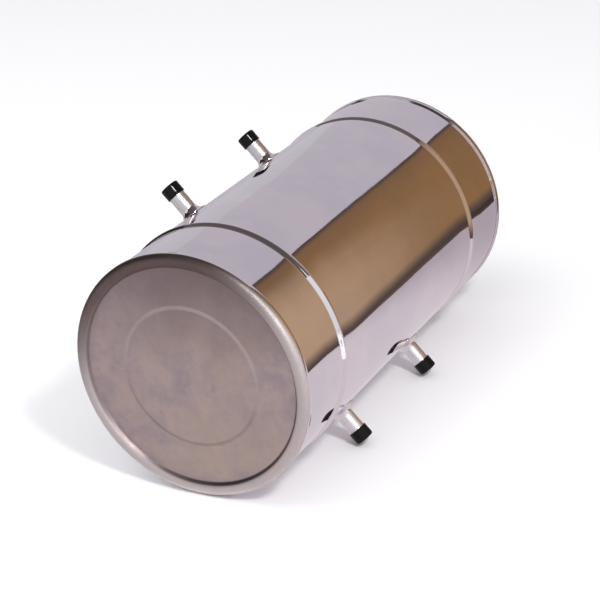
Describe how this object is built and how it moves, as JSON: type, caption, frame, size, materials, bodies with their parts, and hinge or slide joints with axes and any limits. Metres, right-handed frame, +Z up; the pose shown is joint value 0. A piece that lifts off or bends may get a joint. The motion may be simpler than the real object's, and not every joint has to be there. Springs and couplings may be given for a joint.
{
  "type": "uv clarifier",
  "caption": "Polished steel drum with beads, capped pipe stubs and a rear lamp head: pond water flows round a UV-C lamp in a quartz sleeve.",
  "frame": {"origin": "on the surface that the drum lies on, under the middle of its whole length", "axes": "+Y along the drum's axis from the closed front head to the lamp head, +Z up, +X towards the lower ports"},
  "size_m": [0.3059, 0.7056, 0.306],
  "materials": {
    "black_vinyl": "glossy black vinyl",
    "brass": "turned brass",
    "choke_lacquer": "stacked steel sheets, grey lacquer",
    "copper_winding": "enamelled copper winding",
    "head_plastic": "fine-grained black glass-filled plastic",
    "holder_plastic": "white moulded plastic",
    "lamp_ceramic": "white glazed lamp base",
    "lens_blue": "blue window",
    "mirror_steel": "mirror-polished stainless steel, drum shell, rims and stubs",
    "quartz": "clear quartz",
    "ring_plastic": "dark grey moulded plastic",
    "satin_steel": "satin stainless steel",
    "seal_rubber": "black rubber",
    "silicone": "red silicone rubber",
    "zinc_steel": "bright zinc-plated steel"
  },
  "bodies": {
    "drum": {"drum_shell": "mirror_steel", "front_head": "satin_steel", "rear_head": "satin_steel", "lamp_neck": "satin_steel", "quartz_sleeve": "quartz", "sleeve_o_ring": "silicone", "sleeve_nut": "satin_steel", "sleeve_socket": "satin_steel", "sleeve_cushion": "silicone", "earth_stud": "zinc_steel", "earth_nuts": "zinc_steel", "port_stub_upper_front": "mirror_steel", "port_stub_upper_rear": "mirror_steel", "port_stub_lower_front": "mirror_steel", "port_stub_lower_rear": "mirror_steel"},
    "lamp_head": {"head_gasket": "seal_rubber", "head_housing": "head_plastic", "head_cover": "head_plastic", "cover_gasket": "seal_rubber", "cover_screws": "zinc_steel", "indicator_lens": "lens_blue", "uv_lamp_tubes": "quartz", "lamp_base": "lamp_ceramic", "lamp_pins": "brass", "lamp_holder": "holder_plastic", "holder_bracket": "zinc_steel", "holder_screws": "zinc_steel", "ballast_choke": "choke_lacquer", "choke_coil": "copper_winding", "terminal_block": "holder_plastic", "gland_body": "ring_plastic", "gland_seal": "seal_rubber"},
    "locking_collar": {"locking_ring": "ring_plastic"},
    "gland_clamp": {"gland_nut": "ring_plastic"},
    "port_cap_upper_front_body": {"port_cap_upper_front": "black_vinyl"},
    "port_cap_upper_rear_body": {"port_cap_upper_rear": "black_vinyl"},
    "port_cap_lower_front_body": {"port_cap_lower_front": "black_vinyl"},
    "port_cap_lower_rear_body": {"port_cap_lower_rear": "black_vinyl"}
  },
  "joints": [
    {"name": "lamp_head_pull", "type": "slide", "parent": "drum", "child": "lamp_head", "axis": [0, 1, 0], "range_m": [0, 0.53]},
    {"name": "locking_ring_turn", "type": "hinge", "parent": "lamp_head", "child": "locking_collar", "pos_m": [0, 0.27615, 0.153], "axis": [0, 1, 0], "range_deg": [0, 360]},
    {"name": "gland_nut_turn", "type": "hinge", "parent": "lamp_head", "child": "gland_clamp", "pos_m": [0, 0.32935, 0.083], "axis": [0, 0, -1], "range_deg": [0, 360]},
    {"name": "port_cap_upper_front_pull", "type": "slide", "parent": "drum", "child": "port_cap_upper_front_body", "axis": [-0.6755, 0, 0.7374], "range_m": [0, 0.06]},
    {"name": "port_cap_upper_rear_pull", "type": "slide", "parent": "drum", "child": "port_cap_upper_rear_body", "axis": [-0.6755, 0, 0.7374], "range_m": [0, 0.06]},
    {"name": "port_cap_lower_front_pull", "type": "slide", "parent": "drum", "child": "port_cap_lower_front_body", "axis": [0.6755, 0, -0.7374], "range_m": [0, 0.06]},
    {"name": "port_cap_lower_rear_pull", "type": "slide", "parent": "drum", "child": "port_cap_lower_rear_body", "axis": [0.6755, 0, -0.7374], "range_m": [0, 0.06]}
  ]
}
